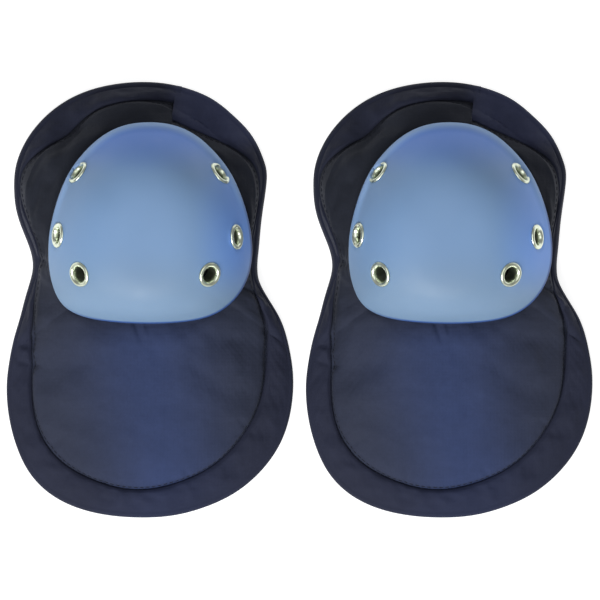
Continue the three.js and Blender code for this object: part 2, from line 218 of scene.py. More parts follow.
def front_height(x, y):
    """Arch over the leg from the seam's height, a dome under the cap, and the flange outside."""
    angle, reach = np.arctan2(y - CROWN_Y, x), np.hypot(x, y - CROWN_Y)
    foot, edge = seam_height(angle), seam(angle)
    share = share_of(reach, edge, PAD_CORE)
    base = MEAN_FOOT + (foot - MEAN_FOOT) * share**2
    arch = base + (ARCH - base) * arch_profile(share, 3.0, 0.8, 0.02)
    fall = 0.9 + 0.1 * np.sin(angle) ** 2
    under_cap = share_of(reach, cap_edge(angle) + 2, CAP_CORE)
    shoulder = 4 + 3 * np.maximum(0, np.sin(angle)) ** 2
    dome = KNEE_RISE * arch_profile(under_cap, shoulder, fall, 0.01)
    out = np.clip((reach - edge) / (rim(angle) - edge), 0, 1)
    return np.where(reach > edge, foot + (RIM_TOP - foot) * out, arch + dome)


def hollow_height(x, y):
    """Roof of the hollow that takes the leg, with a deeper cup for the kneecap."""
    angle, reach = np.arctan2(y - CROWN_Y, x), np.hypot(x, y - CROWN_Y)
    share = share_of(reach, hollow_edge(angle), PAD_CORE)
    under_cap = share_of(reach, cap_edge(angle) + 2, CAP_CORE)
    arch = (HOLLOW - HOLLOW_FOOT) * arch_profile(share, 2.2, 0.6, 0.03)
    return HOLLOW_FOOT + arch + HOLLOW_RISE * (1 - under_cap**2) ** 1.5


def normal_of(height, x, y, step=0.5):
    """Upward unit normal of z = height(x, y), from central differences."""
    slope_x = (height(x + step, y) - height(x - step, y)) / (2 * step)
    slope_y = (height(x, y + step) - height(x, y - step)) / (2 * step)
    normal = np.stack([-slope_x, -slope_y, np.ones_like(slope_x)], -1)
    return normal / np.linalg.norm(normal, axis=-1, keepdims=True)


def on_surface(height, x, y, out=0.0):
    """Points of z = height(x, y), moved out along the normal."""
    base = np.stack([x, y, height(x, y)], -1)
    return base + normal_of(height, x, y) * np.asarray(out)[..., None]


def plan(angle, reach):
    """Plan coordinates of a point at an angle about the crown and a reach from it."""
    return reach * np.cos(angle), CROWN_Y + reach * np.sin(angle)


def even_angles(edge, count, start):
    """Angles of points evenly spaced along an outline, anticlockwise from a start angle."""
    fine = start + np.linspace(0, TAU, 6001)
    x, y = plan(fine, edge(fine))
    along = np.concatenate([[0], np.cumsum(np.hypot(np.diff(x), np.diff(y)))])
    return np.interp(np.arange(count) / count * along[-1], along, fine)


random = np.random.default_rng(17)


def ripple_field(count, shortest, longest):
    """Smooth unevenness: a sum of plane waves with seeded directions, lengths and phases."""
    length = np.exp(random.uniform(math.log(shortest), math.log(longest), count))
    heading = random.uniform(0, math.pi, count)
    phase = random.uniform(0, TAU, count)
    size = (length / longest) ** 0.8
    size = size / np.sqrt((size**2).sum() / 2)

    def field(x, y):
        total = np.zeros(np.broadcast(x, y).shape)
        for wave, way, start, share in zip(length, heading, phase, size):
            travel = x * math.cos(way) + y * math.sin(way)
            total += share * np.sin(TAU * travel / wave + start)
        return total

    return field


soft_uneven = ripple_field(26, 16, 60)
fine_uneven = ripple_field(34, 5, 16)


# ------------------------------------------------------------------ meshes


def make_mesh(name, points, quads, triangles=()):
    """A smooth-shaded mesh from arrays of points, quads and triangles, in millimetres."""
    quads = np.asarray(quads, np.int32).reshape(-1, 4)
    triangles = np.asarray(triangles, np.int32).reshape(-1, 3)
    corners = np.concatenate([quads.ravel(), triangles.ravel()])
    used, corners = np.unique(corners, return_inverse=True)
    points, corners = points[used], corners.astype(np.int32).ravel()
    mesh = bpy.data.meshes.new(name)
    mesh.vertices.add(len(points))
    mesh.vertices.foreach_set("co", (points * MM).astype(np.float32).ravel())
    mesh.loops.add(len(corners))
    mesh.loops.foreach_set("vertex_index", corners)
    totals = np.concatenate([np.full(len(quads), 4), np.full(len(triangles), 3)])
    starts = np.concatenate([[0], np.cumsum(totals)[:-1]])
    mesh.polygons.add(len(totals))
    mesh.polygons.foreach_set("loop_start", starts.astype(np.int32))
    mesh.polygons.foreach_set("use_smooth", np.ones(len(totals), bool))
    mesh.update(calc_edges=True)
    mesh.validate()
    piece = bpy.data.objects.new(name, mesh)
    bpy.context.scene.collection.objects.link(piece)
    return piece


def grid_quads(rows, columns, wrap_rows=False, wrap_columns=True, first=0):
    """Quads of a rows-by-columns grid of points that lie row by row."""
    r = np.arange(rows if wrap_rows else rows - 1)
    c = np.arange(columns if wrap_columns else columns - 1)
    r, c = np.meshgrid(r, c, indexing="ij")
    below, beside = (r + 1) % rows, (c + 1) % columns
    corners = [(r, c), (below, c), (below, beside), (r, beside)]
    return first + np.stack([a * columns + b for a, b in corners], -1).reshape(-1, 4)


def capped_rings(name, top_pole, rings, bottom_pole):
    """Closed skin: rings that run out from a top pole and back in to a bottom pole."""
    rows, columns, _ = rings.shape
    points = np.concatenate([[top_pole], rings.reshape(-1, 3), [bottom_pole]])
    quads = grid_quads(rows, columns, first=1)
    i = np.arange(columns)
    j = (i + 1) % columns
    last = 1 + (rows - 1) * columns
    top = np.stack([np.zeros_like(i), 1 + i, 1 + j], -1)
    bottom = np.stack([np.full_like(i, len(points) - 1), last + j, last + i], -1)
    return make_mesh(name, points, quads, np.concatenate([top, bottom]))


def moved(points, pad):
    """Points taken from the pad's own frame to its place."""
    return points + np.array([PAD_MIDDLE[pad], 0, 0])


AXIS_REACH = 12.0


def pierced_shell(top, bottom, centres, radius):
    """Two grids with a round hole about each axis, and which of their cells fall in a hole.

    Points inside a hole are pushed out to its circle on both grids, and a cell whose four corners
    all were inside is dropped. AXIS_REACH keeps the far side of the pad out of it.
    """
    rows, columns, _ = top.shape
    inside = np.zeros((rows, columns), bool)
    for axis_point, axis in centres:
        offset = top - axis_point
        away = offset - (offset @ axis)[..., None] * axis
        distance = np.linalg.norm(away, axis=-1)
        near = (distance < radius) & (np.abs(offset @ axis) < AXIS_REACH)
        grown = away / np.maximum(distance, 1e-6)[..., None] * (radius - distance)[..., None]
        shift = np.where(near[..., None], grown, 0)
        top, bottom = top + shift, bottom + shift
        inside |= near
    cell = inside[:-1] & inside[1:]
    cell &= np.roll(cell, -1, axis=1)
    return top, bottom, cell


def hole_wall(a, b, count, outward):
    """Quads from a hole's top edges, a to b, to the same edges in the lower grid, count on."""
    one_way = np.stack([a, a + count, b + count, b], -1)
    return np.where(outward[:, None], one_way, one_way[:, ::-1])


def shell_mesh(name, top, bottom, poles, holes=(), radius=CAP_HOLE):
    """A closed wall between two ring grids, joined at the outer ring, with holes through it."""
    rows, columns, _ = top.shape
    cell = np.zeros((rows - 1, columns), bool)
    if holes:
        top, bottom, cell = pierced_shell(top, bottom, holes, radius)
    count = rows * columns
    points = np.concatenate([top.reshape(-1, 3), bottom.reshape(-1, 3), poles])
    upper = grid_quads(rows, columns).reshape(rows - 1, columns, 4)
    kept = upper[~cell]
    lower = kept[:, ::-1] + count
    last = (rows - 1) * columns
    i = np.arange(columns)
    j = (i + 1) % columns
    edge = np.stack([last + i, last + i + count, last + j + count, last + j], -1)
    quads = [kept, lower, edge]
    gone_out, gone_in = np.zeros((2, rows, columns), bool)
    gone_out[:-1], gone_in[1:] = cell, cell
    r, c = np.nonzero(gone_out != gone_in)
    a, b = r * columns + c, r * columns + (c + 1) % columns
    quads.append(hole_wall(a, b, count, gone_out[r, c]))
    r, c = np.nonzero(cell != np.roll(cell, 1, axis=1))
    a, b = r * columns + c, (r + 1) * columns + c
    quads.append(hole_wall(a, b, count, ~cell[r, c]))
    pole = 2 * count
    fan_top = np.stack([np.full_like(i, pole), i, j], -1)
    fan_bottom = np.stack([np.full_like(i, pole + 1), count + j, count + i], -1)
    return make_mesh(name, points, np.concatenate(quads), np.concatenate([fan_top, fan_bottom]))


# ------------------------------------------------------------------ cloth puffed by simulation

SIM_COLUMNS = 132
SIM_COVER_ROWS = 24
SIM_BAND_ROWS = 9
SIM_FRAMES = 20
AIR_PRESSURE = 3.5
MOST_PUFF = 4.0
CLOTH_SETTINGS = {
    "vertex_group_mass": "held",
    "quality": 6,
    "mass": 0.2,
    "tension_stiffness": 12,
    "compression_stiffness": 12,
    "shear_stiffness": 4,
    "bending_stiffness": 0.4,
    "shrink_min": -0.03,
    "use_pressure": True,
    "uniform_pressure_force": AIR_PRESSURE,
}


def puffed_cloth():
    """How far the front cloth and band puff out: air pressure on a coarse skin, held at its seams.
    """
    columns, cover_rows, band_rows = SIM_COLUMNS, SIM_COVER_ROWS, SIM_BAND_ROWS
    angle = even_angles(rim, columns, BUTT)
    start, line, edge = cap_edge(angle) - 2, seam(angle), rim(angle) - RIM_ROUND
    cover = np.linspace(0, 1, cover_rows)[:, None]
    band = np.linspace(0, 1, band_rows + 1)[1:, None]
    reach = np.concatenate([start + (line - start) * cover, line + (edge - line) * band])
    x, y = plan(angle[None, :], reach)
    rest = np.stack([x, y, front_height(x, y)], -1)
    skin = make_mesh("puffing_cloth", rest.reshape(-1, 3), grid_quads(len(reach), columns))
    held = np.zeros(reach.shape, bool)
    held[:2] = held[cover_rows - 1] = held[-1] = True
    group = skin.vertex_groups.new(name="held")
    group.add(np.nonzero(held.ravel())[0].tolist(), 1.0, "REPLACE")
    cloth = skin.modifiers.new("cloth", "CLOTH")
    for key, value in CLOTH_SETTINGS.items():
        setattr(cloth.settings, key, value)
    cloth.settings.effector_weights.gravity = 0
    cloth.collision_settings.use_collision = False
    scene = bpy.context.scene
    for number in range(1, SIM_FRAMES + 1):
        scene.frame_set(number)
    settled = skin.evaluated_get(bpy.context.evaluated_depsgraph_get()).data
    co = np.zeros(len(settled.vertices) * 3, np.float32)
    settled.vertices.foreach_get("co", co)
    scene.frame_set(1)
    drift = co.reshape(rest.shape) / MM - rest
    bpy.data.objects.remove(skin)
    length = np.linalg.norm(drift, axis=-1, keepdims=True)
    return drift * np.minimum(1, MOST_PUFF / np.maximum(length, 1e-6))


def smoothed(field):
    """Averages each point of a ring grid with its neighbours round and across."""
    around = (np.roll(field, 1, 1) + 2 * field + np.roll(field, -1, 1)) / 4
    across = np.concatenate([around[:1], around, around[-1:]])
    return (across[:-2] + 2 * around + across[2:]) / 4


PUFF = puffed_cloth()
PUFF_ANGLES = even_angles(rim, SIM_COLUMNS, BUTT)


def puff_at(part, row_share, angle):
    """The simulated drift at a share of the way across the cover or the band, and an angle.

    It is mixed from the four nearest points of the coarse grid, with shares halfway between
    straight and eased, so that no fold line shows at the coarse rows.
    """
    if part == "cover":
        field = smoothed(PUFF[:SIM_COVER_ROWS])
    else:
        field = PUFF[SIM_COVER_ROWS - 1 :]
    rows = len(field)
    turn = (angle - BUTT) % TAU + BUTT
    wrapped = np.append(PUFF_ANGLES, PUFF_ANGLES[0] + TAU)
    column = np.interp(turn, wrapped, np.arange(SIM_COLUMNS + 1))
    row = np.clip(row_share, 0, 1) * (rows - 1)
    row, column = np.broadcast_arrays(row, column)
    r0 = np.clip(row.astype(int), 0, rows - 2)
    c0 = np.floor(column).astype(int)
    tr, tc = row - r0, column - c0
    tr, tc = (t * t * (3 - 2 * t) * 0.5 + t * 0.5 for t in (tr, tc))
    c0, c1 = c0 % SIM_COLUMNS, (c0 + 1) % SIM_COLUMNS
    tr, tc = tr[..., None], tc[..., None]
    upper = field[r0, c0] * (1 - tc) + field[r0, c1] * tc
    lower = field[r0 + 1, c0] * (1 - tc) + field[r0 + 1, c1] * tc
    return upper * (1 - tr) + lower * tr


# ------------------------------------------------------------------ cloth pieces

# Soft creases in the cloth: two ends in plan, height (below 0 for a valley), and half width.
CREASES = [
    ((-8.8, -13), (-5.6, -22), -1.1, 1.3),
    ((-4.4, -13), (-2.4, -19), 0.7, 1.4),
    ((-66, 24), (-58.5, 21), -1.6, 1.8),
    ((-64, 17), (-60, 12), 0.9, 2.2),
    ((-79, -35), (-67, -38.5), -1.3, 1.5),
    ((-76, -29), (-69, -30.5), 0.9, 2.0),
    ((56, 8), (64, 3), -1.2, 1.6),
    ((70, 3), (66, -6), -0.8, 1.6),
    ((-62, 66), (-55, 80), 1.2, 3.4),
    ((-64, 50), (-60, 62), 1.1, 3.0),
    ((-50, 88), (-42, 98), -1.0, 2.0),
    ((52, -70), (60, -78), -0.7, 1.6),
    ((-50, -80), (-58, -86), -0.7, 1.8),
    ((20, -98), (24, -108), -0.6, 1.5),
    ((-24, -100), (-28, -110), -0.6, 1.5),
]


def creases(x, y):
    """Sum of ridges and valleys: each a bell across its line, fading past its two ends."""
    total = np.zeros(np.broadcast(x, y).shape)
    for (x0, y0), (x1, y1), height, width in CREASES:
        length = math.hypot(x1 - x0, y1 - y0)
        ux, uy = (x1 - x0) / length, (y1 - y0) / length
        along = (x - x0) * ux + (y - y0) * uy
        across = (y - y0) * ux - (x - x0) * uy
        past = np.maximum(np.maximum(-along, along - length), 0)
        total += height * np.exp(-((across / width) ** 2) - (past / (1.6 * width)) ** 2)
    return total


SEAM_DIP, DIP_WIDTH = 1.5, 2.6  # how far the cover dips to the seam, and over what width
TUCK_DIP = 0.9  # how much lower it runs under the band
BAND_SWELL = 1.4
BUTT_PINCH, PINCH_WIDTH = 0.8, 1.6
BUTT_LAP = 0.5
HEM_SAG = 0.25
BUTT_TUCK = np.array([0.035, 0.015])  # angles that the band's end reaches past its butt joint
STITCHED_ROW = -7  # the row of the front cloth's grid that runs 1.6 mm inside the band


def front_cloth(columns=440):
    """Ring grid of the front cover's outer face, from under the cap to its tuck below the band.

    The face stands off the front surface by seeded unevenness and creases. It dips to the seam in a
    bell, and beyond it runs a few steps under the band, which shorten where the band is narrow.
    """
    angle = even_angles(rim, columns, BUTT)[None, :]
    under = np.append(np.linspace(0.05, 0.6, 10), np.linspace(0.62, 0.95, 30))[:, None]
    inner = reach_of(under, cap_edge(angle), CAP_CORE)
    share = np.linspace(0, 1, 58)[:, None]
    start, line = cap_edge(angle) - 2, band_line(angle)
    outer = start + (line - 4 - start) * share
    step = np.array([-3.2, -2.4, -1.6, -0.8, 0, 0.8, 1.8, 3.2, 4.6])[:, None]
    room = np.clip((rim(angle) - line - RIM_ROUND) / step.max(), 0.15, 1)
    tuck = line + np.where(step > 0, step * room, step)
    reach = np.concatenate([inner, outer, tuck])
    x, y = plan(angle, reach)
    inset = line - reach
    open_cloth = smooth(0.5, 6, reach - cap_edge(angle)) * smooth(-0.5, 5, inset)
    broad = 0.4 + 0.6 * smooth(3, 10, rim(angle) - line)
    drop = SEAM_DIP * broad * np.exp(-((np.maximum(inset, 0) / DIP_WIDTH) ** 2))
    drop = drop + TUCK_DIP * smooth(0, -1.6, inset)
    out = open_cloth * (0.35 * soft_uneven(x, y) + 0.1 * fine_uneven(x, y)) - drop
    out = out + creases(x, y) * smooth(-2, 2, inset)
    points = on_surface(front_height, x, y, out)
    grown = (reach - start) / np.maximum(seam(angle) - start, 1)
    return points + puff_at("cover", grown, angle) * smooth(-1, 3, inset)[..., None]


def band_section(angle):
    """Outer face of the edge band at each angle: over the flange, round the rim, and under.

    The flange part swells in a leaning half sine, is pinched in a bell at the butt joint, and laps
    a little over itself just before it. The rim is a half ellipse, and the hem sags in a half sine.
    """
    line, outer = band_line(angle), rim(angle)
    face = np.linspace(0, 1, 26)[:, None]
    reach = line + (outer - RIM_ROUND - line) * face
    x, y = plan(angle, reach)
    swell = BAND_SWELL * np.sin(math.pi * face**0.75) ** 0.8 * smooth(3, 10, outer - line)
    past_butt, before_butt = (angle - BUTT) * outer, (BUTT + TAU - angle) * outer
    level = smooth(1.0, 0.8, face)
    pinch = BUTT_PINCH * np.exp(-((np.minimum(past_butt, before_butt) / PINCH_WIDTH) ** 2)) * level
    lap = BUTT_LAP * smooth(9, 2, before_butt) * level
    wrinkle = 0.2 * soft_uneven(x * 1.7, y * 1.7) + 0.12 * fine_uneven(x, y)
    uneven = (wrinkle + creases(x, y)) * smooth(0, 0.2, face) * smooth(0.95, 0.5, face)
    out = swell + lap - pinch + uneven - TUCK_DIP * (1 - smooth(0, 0.12, face))
    top = on_surface(front_height, x, y, out)
    held = 0.5 * smooth(0, 0.25, face) * smooth(1.0, 0.6, face) * smooth(3, 10, outer - line)
    top = top + puff_at("band", face, angle) * held[..., None]
    turn = np.linspace(0, math.pi, 14)[1:, None]
    shoulder = top[-1:]
    half = shoulder[..., 2] / 2
    radial = np.stack([np.cos(angle), np.sin(angle), np.zeros_like(angle)], -1)
    round_rim = shoulder + radial * (RIM_STUFFED * np.sin(turn))[..., None]
    round_rim[..., 2] = half + half * np.cos(turn)
    hem = np.linspace(0, 1, 10)[1:, None]
    under_reach = np.hypot(shoulder[..., 0], shoulder[..., 1] - CROWN_Y)
    inward = under_reach + (hollow_edge(angle) + 1.6 - under_reach) * hem
    hx, hy = plan(angle, inward)
    under = np.stack([hx, hy, HEM_SAG * np.sin(math.pi * hem) * np.ones_like(hx)], -1)
    return np.concatenate([top, round_rim, under])


def inset_loop(outside, angle, depth):
    """The section moved inwards in its own plane by the cloth's thickness."""
    reach = np.hypot(outside[..., 0], outside[..., 1] - CROWN_Y)
    height = outside[..., 2]
    run, rise = np.gradient(reach, axis=0), np.gradient(height, axis=0)
    size = np.maximum(np.hypot(run, rise), 1e-6)
    reach_in = reach + depth * rise / size
    height_in = height - depth * run / size
    x, y = plan(angle, reach_in)
    return np.stack([x, y, height_in], -1)


def edge_band_piece(name, pad):
    """The band: sections from just under its butt joint right round to just over it.

    The two sections under the joint are the first one, turned back about the crown.
    """
    stations = even_angles(rim, 520, BUTT)
    angle = np.concatenate([BUTT - BUTT_TUCK, stations, [BUTT + TAU - 1e-4]])
    outside = band_section(np.clip(angle, BUTT, None)[None, :])
    slip = np.minimum(angle - BUTT, 0)[None, :]
    x, y = outside[..., 0], outside[..., 1] - CROWN_Y
    c, s = np.cos(slip), np.sin(slip)
    outside = np.stack([x * c - y * s, CROWN_Y + x * s + y * c, outside[..., 2]], -1)
    turned = np.arctan2(outside[..., 1] - CROWN_Y, outside[..., 0])
    inside = inset_loop(outside, turned, CLOTH)
    inside[..., 2] = np.maximum(inside[..., 2], outside[..., 2].min(axis=0) + 0.15)
    loop = np.concatenate([outside, inside[::-1]])
    rows, columns, _ = loop.shape
    quads = grid_quads(rows, columns, wrap_rows=True, wrap_columns=False)
    half = rows // 2
    i = np.arange(half - 1)
    across = rows - 1 - i
    first = np.stack([i, i + 1, across - 1, across], -1) * columns
    last = (np.stack([i, across, across - 1, i + 1], -1)) * columns + columns - 1
    points = moved(loop.reshape(-1, 3), pad)
    return make_mesh(name, points, np.concatenate([quads, first, last]))


def front_cover_piece(name, pad, outer, holes):
    """The front cover: the outer face and the same face a cloth's thickness lower."""
    normal = grid_normal(outer)
    inner = outer - normal * CLOTH
    poles = pole_pair(front_height, 0, -CLOTH)
    faces = moved(outer, pad), moved(inner, pad)
    return shell_mesh(name, *faces, moved(poles, pad), holes, COVER_HOLE)


def grid_normal(grid):
    """Unit normals of a ring grid, from the cross product of its outward and round differences."""
    outward = np.gradient(grid, axis=0)
    round_about = np.roll(grid, -1, 1) - np.roll(grid, 1, 1)
    normal = np.cross(outward, round_about)
    return normal / np.maximum(np.linalg.norm(normal, axis=-1, keepdims=True), 1e-9)


def pole_pair(height, upper, lower):
    """The crown's point of a height surface, moved out by two amounts."""
    crown = np.array([[0.0], [CROWN_Y]])
    return np.concatenate([on_surface(height, *crown, np.array([out])) for out in (upper, lower)])


def foam_piece(name, pad):
    """The foam: under the cover's face, pocketed at the eyelets, and above the hollow's roof."""
    under_cover, over_roof = -3.3, 1.7
    angle = even_angles(rim, 200, BUTT)[None, :]
    line = seam(angle)
    reach = np.concatenate([
        reach_of(np.linspace(0.1, 0.93, 22)[:, None], cap_edge(angle), CAP_CORE),
        cap_edge(angle) - 1 + (line - cap_edge(angle)) * np.linspace(0, 1, 34)[:, None] ** 1.4,
        line + (rim(angle) - 4 - line) * np.linspace(0.1, 1, 6)[:, None],
    ])
    x, y = plan(angle, reach)
    near = np.min([np.hypot(x - ex, y - ey) for ex, ey in EYELETS.values()], axis=0)
    top = on_surface(front_height, x, y, under_cover - 4.7 * smooth(12, 8, near))
    edge_x, edge_y = plan(angle, rim(angle) - 3.4)
    side = np.stack([edge_x, edge_y, np.full_like(edge_x, 2.2)], -1)
    foot_x, foot_y = plan(angle, hollow_edge(angle) + 3)
    foot = np.stack([foot_x, foot_y, np.full_like(foot_x, 1.6)], -1)
    roof_reach = reach_of(np.linspace(1, 0.1, 16)[:, None], hollow_edge(angle), PAD_CORE)
    roof = on_surface(hollow_height, *plan(angle, roof_reach), over_roof)
    rings = np.concatenate([top, side, foot, roof])
    top_pole = pole_pair(front_height, under_cover, 0)[0]
    roof_pole = pole_pair(hollow_height, over_roof, 0)[0]
    return capped_rings(name, moved(top_pole, pad), moved(rings, pad), moved(roof_pole, pad))


QUILT_LINES = 4.0, -36.0


def liner_piece(name, pad):
    """The liner: the hollow's roof with soft padding waves, turned out over the band's hem.

    Two quilted channels cross it, each a bell across its line.
    """
    angle = even_angles(rim, 320, BUTT)[None, :]
    share = np.linspace(0.03, 1, 76)[:, None]
    reach = reach_of(share, hollow_edge(angle), PAD_CORE)
    x, y = plan(angle, reach)
    puff = 0.5 * soft_uneven(x + 40, y - 25) + 0.14 * fine_uneven(x, y)
    channel = sum(np.exp(-(((y - line) / 2.2) ** 2)) for line in QUILT_LINES)
    into = (puff * smooth(1, 0.8, share) + 0.8 * channel * smooth(0.96, 0.8, share)) - 0.2
    face = on_surface(hollow_height, x, y, into)
    tuck = []
    for out, level in ((1.2, 1.75), (3.0, 1.6), (4.6, 1.6)):
        tx, ty = plan(angle, hollow_edge(angle) + out)
        tuck.append(np.stack([tx, ty, np.full_like(tx, level)], -1))
    lower = np.concatenate([face] + tuck)
    lower[..., 2] = np.maximum(lower[..., 2], 1.45)
    upper = lower + grid_normal(lower)
    poles = pole_pair(hollow_height, 0.8, -0.2)
    return shell_mesh(name, moved(upper, pad), moved(lower, pad), moved(poles, pad))


# ------------------------------------------------------------------ cap

SEAT = CAP_GAP + CAP_WALL - SEAT_DEPTH
BROW_LIP, CHIN_LIP = 4.2, 0.9
EYELET_LEAN = math.radians(5)


def eyelet_axis(place):
    """Where an eyelet's axis meets the front cloth's surface, and its way out.

    It follows the surface's normal, leaned a little further out the further it is up the cap.
    """
    x, y = (np.array([v], float) for v in place)
    normal = normal_of(front_height, x, y)[0]
    flat = np.array([normal[0], normal[1], 0]) / math.hypot(normal[0], normal[1])
    lean = EYELET_LEAN * smooth(20, 34, y[0])
    across = flat - normal * (flat @ normal)
    across = across / np.linalg.norm(across)
    axis = normal * math.cos(lean) + across * math.sin(lean)
    return on_surface(front_height, x, y)[0], axis


def cap_grids(columns=360):
    """Outer and inner face of the cap: the dome offset outwards, a rolled lip, and eyelet seats.

    The lip turns up in a power of the share near the edge, most at the brow. A seat flattens the
    outer face to a plane square to its eyelet's axis, eased out past its radius.
    """
    angle = even_angles(cap_edge, columns, BUTT)[None, :]
    share = np.concatenate([np.linspace(0.02, 0.8, 66), np.linspace(0.8, 1, 34)[1:]])[:, None]
    reach = reach_of(share, cap_edge(angle), CAP_CORE)
    x, y = plan(angle, reach)
    base = on_surface(front_height, x, y)
    normal = normal_of(front_height, x, y)
    from_top = np.abs((angle - math.pi / 2 + math.pi) % TAU - math.pi)
    from_chin = math.pi - from_top
    brow = 0.3 + 0.7 * smooth(1.5, 0.7, from_top)
    lip = BROW_LIP * brow * smooth(1.3, 1.7, from_chin) * smooth(0.94, 1.0, share) ** 1.4
    lip = lip + CHIN_LIP * smooth(0.9, 0.4, from_chin) * smooth(0.93, 1.0, share) ** 1.5
    up = np.array([0.0, 0.0, 1.0])
    outer = base + normal * (CAP_GAP + CAP_WALL) + up * lip[..., None]
    inner = base + normal * CAP_GAP + up * lip[..., None]
    for place in EYELETS.values():
        point, axis = eyelet_axis(place)
        offset = outer - point
        level = offset @ axis
        distance = np.linalg.norm(offset - level[..., None] * axis, axis=-1)
        blend = smooth(SEAT_RADIUS + 1.5, SEAT_RADIUS - 0.4, distance) * smooth(1.0, 0.94, share)
        outer = outer + axis * (blend * (SEAT - level))[..., None]
    return outer, inner


def rounded_rim(outer, inner, radius=1.1, steps=6):
    """Rings on a squarish half turn that join the edges of two faces."""
    middle = (outer[-1] + inner[-1]) / 2
    across = (outer[-1] - inner[-1]) / 2
    ahead = outer[-1] - outer[-3]
    ahead = ahead / np.linalg.norm(ahead, axis=-1, keepdims=True)
    turn = np.linspace(0, math.pi, steps + 2)[1:-1]
    flat = np.abs(np.cos(turn)) ** 0.7 * np.sign(np.cos(turn))
    bow = np.sin(turn) ** 0.7
    return np.stack([middle + across * f + ahead * radius * b for f, b in zip(flat, bow)])


def cap_piece(name, pad, outer, inner, holes):
    """The cap: its two faces, joined round the rim, with the eyelets' holes through it."""
    rim_rings = rounded_rim(outer, inner)
    half = len(rim_rings) // 2
    top = np.concatenate([outer, rim_rings[:half]])
    bottom = np.concatenate([inner, rim_rings[half:][::-1]])
    poles = pole_pair(front_height, CAP_GAP + CAP_WALL, CAP_GAP)
    return shell_mesh(name, moved(top, pad), moved(bottom, pad), moved(poles, pad), holes)


# ------------------------------------------------------------------ eyelets

EYELET_FLANGE = 7.4
EYELET_BORE = 4.1
EYELET_TAIL = -5.2
FLANGE_RISE = 1.25
THROAT_DROP = 2.2
METAL_WALL = 0.4


def eyelet_profile():
    """Radius and height of the eyelet: a domed flange, a flaring throat, and a curled tail.

    Flange and throat are quarter ellipses that meet at the crest, and the tail is a half circle.
    """
    crest, bed = (EYELET_FLANGE + EYELET_BORE) / 2 + 0.35, SEAT + 0.05
    outer = np.linspace(0, math.pi / 2, 9)
    inner = np.linspace(math.pi / 2, math.pi, 12)[1:]
    outer_x = crest + (EYELET_FLANGE - crest) * np.cos(outer)
    outer_z = bed + FLANGE_RISE * np.sin(outer)
    inner_x = crest + (crest - EYELET_BORE) * np.cos(inner)
    inner_z = bed - THROAT_DROP + (FLANGE_RISE + THROAT_DROP) * np.sin(inner)
    curl = np.linspace(0, math.pi, 7)
    curl_x = EYELET_BORE + 0.75 - 0.75 * np.cos(curl)
    curl_z = EYELET_TAIL - 0.6 * np.sin(curl)
    x = np.concatenate([outer_x, inner_x, curl_x, [EYELET_BORE + METAL_WALL] * 2])
    z = np.concatenate([outer_z, inner_z, curl_z, [EYELET_TAIL + METAL_WALL, bed - 0.3]])
    return x, z


def washer_profile():
    """Radius and height of the washer that an eyelet's tail is rolled over."""
    low, high = EYELET_TAIL + 0.5, EYELET_TAIL + 1.3
    hole, outside = EYELET_BORE + 0.55, EYELET_FLANGE - 0.1
    x = np.array([hole, hole, outside - 0.2, outside, outside, outside - 0.2])
    return x, np.array([low, high, high, high - 0.2, low + 0.2, low])


def turned_on_axis(x, z, point, axis, sides):
    """Carries a radius-and-height profile round an axis."""
    side = np.cross(axis, [0.0, 0.0, 1.0])
    side = side / np.linalg.norm(side)
    other = np.cross(axis, side)
    turn = np.arange(sides) / sides * TAU
    ring = np.cos(turn)[:, None] * side + np.sin(turn)[:, None] * other
    return point + x[:, None, None] * ring[None] + z[:, None, None] * axis


def turned_piece(name, pad, place, profile, sides=56):
    """An eyelet or washer: its profile carried round the eyelet's axis."""
    point, axis = eyelet_axis(place)
    grid = turned_on_axis(*profile, point, axis, sides)
    quads = grid_quads(*grid.shape[:2], wrap_rows=True)
    return make_mesh(name, moved(grid.reshape(-1, 3), pad), quads[:, ::-1])


# ------------------------------------------------------------------ stitches and hooks


def carried_tubes(name, pad, at, along, up, path, radius, sides=6):
    """One small closed tube at each place: path holds (along, up, share of radius) of its rings."""
    side = np.cross(up, along)
    turn = np.arange(sides) / sides * TAU
    forward, height, girth = (path[:, k] for k in range(3))
    run, rise = np.gradient(forward), np.gradient(height)
    size = np.hypot(run, rise)
    run, rise = run / size, rise / size
    spine = at[:, None] + along[:, None] * forward[:, None] + up[:, None] * height[:, None]
    lift = up[:, None] * run[:, None] - along[:, None] * rise[:, None]
    reach = radius * girth[:, None]
    ring = (
        spine[:, :, None]
        + lift[:, :, None] * (reach * np.sin(turn))[None, :, :, None]
        + side[:, None, None] * (reach * np.cos(turn))[None, :, :, None]
    )
    count, rows = len(at), len(path)
    body = grid_quads(rows, sides)
    each = np.arange(count)[:, None, None] * rows * sides
    fan = np.arange(1, sides - 1)
    start = np.stack([np.zeros_like(fan), fan, fan + 1], -1)
    end = start[:, ::-1] + (rows - 1) * sides
    quads = (body[None] + each).reshape(-1, 4)
    triangles = (np.concatenate([start, end])[None] + each).reshape(-1, 3)
    return make_mesh(name, moved(ring.reshape(-1, 3), pad), quads[:, ::-1], triangles[:, ::-1])


def unit(vectors):
    """Vectors scaled to length one."""
    return vectors / np.linalg.norm(vectors, axis=-1, keepdims=True)


# Along, up, and share of the radius, at each ring of a stitch and of a hook.
STITCH_PATH = np.array([
    (-1.25, -0.55, 0.7),
    (-1.1, -0.15, 0.9),
    (-0.55, 0.12, 1.0),
    (0.55, 0.12, 1.0),
    (1.1, -0.15, 0.9),
    (1.25, -0.55, 0.7),
])
HOOK_PATH = np.array([
    (-0.28, -0.1, 1.0),
    (-0.24, 0.2, 0.9),
    (-0.05, 0.42, 0.8),
    (0.16, 0.36, 0.75),
    (0.22, 0.18, 0.5),
])


